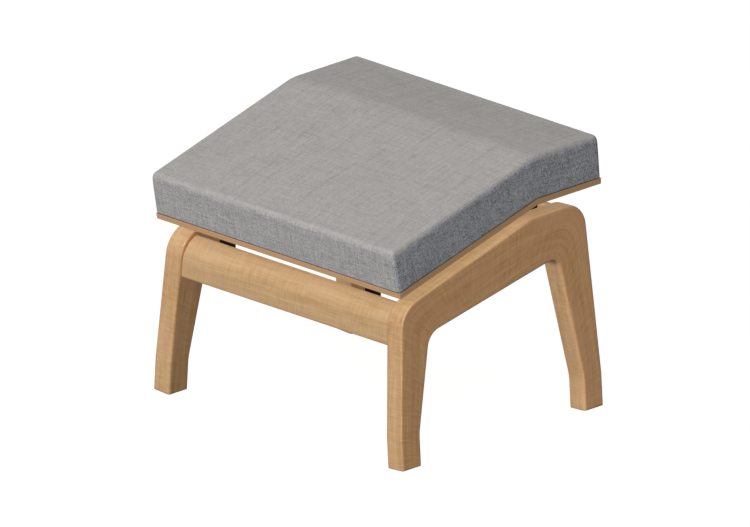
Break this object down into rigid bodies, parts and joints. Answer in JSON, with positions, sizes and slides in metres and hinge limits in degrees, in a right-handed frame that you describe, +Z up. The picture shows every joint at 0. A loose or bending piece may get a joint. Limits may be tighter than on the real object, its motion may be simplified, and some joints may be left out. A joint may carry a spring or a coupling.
{
  "type": "glider ottoman",
  "caption": "Footstool for a glider chair: arched wooden side frames and rails, and a sloping upholstered seat that swings fore and aft on steel links.",
  "frame": {"origin": "on the floor under the middle of the whole object's box", "axes": "+Z up, +X across the seat to its right-hand side seen from the front, +Y from the low front edge to the high rear edge"},
  "size_m": [0.5292, 0.4414, 0.4322],
  "materials": {
    "light_wood": "satin",
    "bent_plywood": "satin",
    "black_steel": "satin",
    "zinc_steel": "satin",
    "bronze": "satin",
    "stop_rubber": "matte",
    "glide_nylon": "matte",
    "grey_fabric": "matte",
    "foam": "matte"
  },
  "bodies": {
    "stand": {"left_side_frame": "light_wood", "right_side_frame": "light_wood", "front_rail": "light_wood", "rear_rail": "light_wood", "rail_dowels": "light_wood", "leg_glides": "glide_nylon", "front_left_hanger": "black_steel", "front_right_hanger": "black_steel", "rear_left_hanger": "black_steel", "rear_right_hanger": "black_steel", "hanger_screws": "zinc_steel", "swing_stops": "stop_rubber", "swing_stop_pins": "zinc_steel", "upper_pivot_bolts": "zinc_steel", "upper_pivot_washers": "zinc_steel", "upper_pivot_nuts": "zinc_steel"},
    "front_left_arm": {"front_left_link": "black_steel", "front_left_link_bushings": "bronze"},
    "front_right_arm": {"front_right_link": "black_steel", "front_right_link_bushings": "bronze"},
    "rear_left_arm": {"rear_left_link": "black_steel", "rear_left_link_bushings": "bronze"},
    "rear_right_arm": {"rear_right_link": "black_steel", "rear_right_link_bushings": "bronze"},
    "seat": {"left_carriage_plate": "black_steel", "right_carriage_plate": "black_steel", "front_cross_tube": "black_steel", "rear_cross_tube": "black_steel", "lower_pivot_bolts": "zinc_steel", "lower_pivot_spacers": "zinc_steel", "lower_pivot_washers": "zinc_steel", "lower_pivot_nuts": "zinc_steel", "seat_board": "bent_plywood", "board_screws": "zinc_steel", "cushion_panel": "bent_plywood", "cushion_foam": "foam", "cushion_cover": "grey_fabric", "cushion_tee_nuts": "zinc_steel", "cushion_bolts": "zinc_steel", "cushion_washers": "zinc_steel"}
  },
  "joints": [
    {"name": "glide_swing", "type": "hinge", "parent": "stand", "child": "front_left_arm", "pos_m": [-0.1615, -0.04642, 0.2914], "axis": [1, 0, 0], "range_deg": [-30, 30]},
    {"name": "seat_level", "type": "hinge", "parent": "front_left_arm", "child": "seat", "pos_m": [-0.1615, -0.04642, 0.2094], "axis": [1, 0, 0], "range_deg": [-30, 30]},
    {"name": "front_right_swing", "type": "hinge", "parent": "stand", "child": "front_right_arm", "pos_m": [0.1615, -0.04642, 0.2914], "axis": [1, 0, 0], "range_deg": [-30, 30]},
    {"name": "rear_left_swing", "type": "hinge", "parent": "stand", "child": "rear_left_arm", "pos_m": [-0.1615, 0.11358, 0.31105], "axis": [1, 0, 0], "range_deg": [-30, 30]},
    {"name": "rear_right_swing", "type": "hinge", "parent": "stand", "child": "rear_right_arm", "pos_m": [0.1615, 0.11358, 0.31105], "axis": [1, 0, 0], "range_deg": [-30, 30]}
  ],
  "couplings": [
    {"joint": "seat_level", "follows": "glide_swing", "ratio": -1},
    {"joint": "front_right_swing", "follows": "glide_swing", "ratio": 1},
    {"joint": "rear_left_swing", "follows": "glide_swing", "ratio": 1},
    {"joint": "rear_right_swing", "follows": "glide_swing", "ratio": 1}
  ]
}
